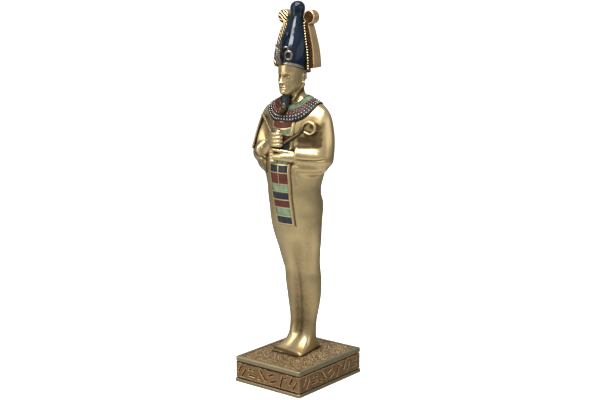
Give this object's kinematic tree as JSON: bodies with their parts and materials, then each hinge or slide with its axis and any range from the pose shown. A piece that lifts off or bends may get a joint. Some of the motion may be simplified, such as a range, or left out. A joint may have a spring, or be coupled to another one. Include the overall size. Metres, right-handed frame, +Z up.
{
  "type": "osiris figure",
  "caption": "Statuette of a shrouded standing Osiris with a tall feathered crown, crook and flail, on an oblong plinth with a band of carved strokes.",
  "frame": {"origin": "centre of the plinth's underside, on the surface that it stands on", "axes": "+Z up, towards the crown; the figure faces -Y, and its left side is towards +X"},
  "size_m": [0.0766, 0.081, 0.3],
  "materials": {
    "plinth_bronze": "satin cold-cast bronze with dark brown patina in the recesses",
    "figure_bronze": "satin cold-cast pale gold bronze, with painted enamel on the crown, collar and sash"
  },
  "bodies": {
    "root": {"plinth": "plinth_bronze", "osiris_figure": "figure_bronze"}
  },
  "joints": []
}
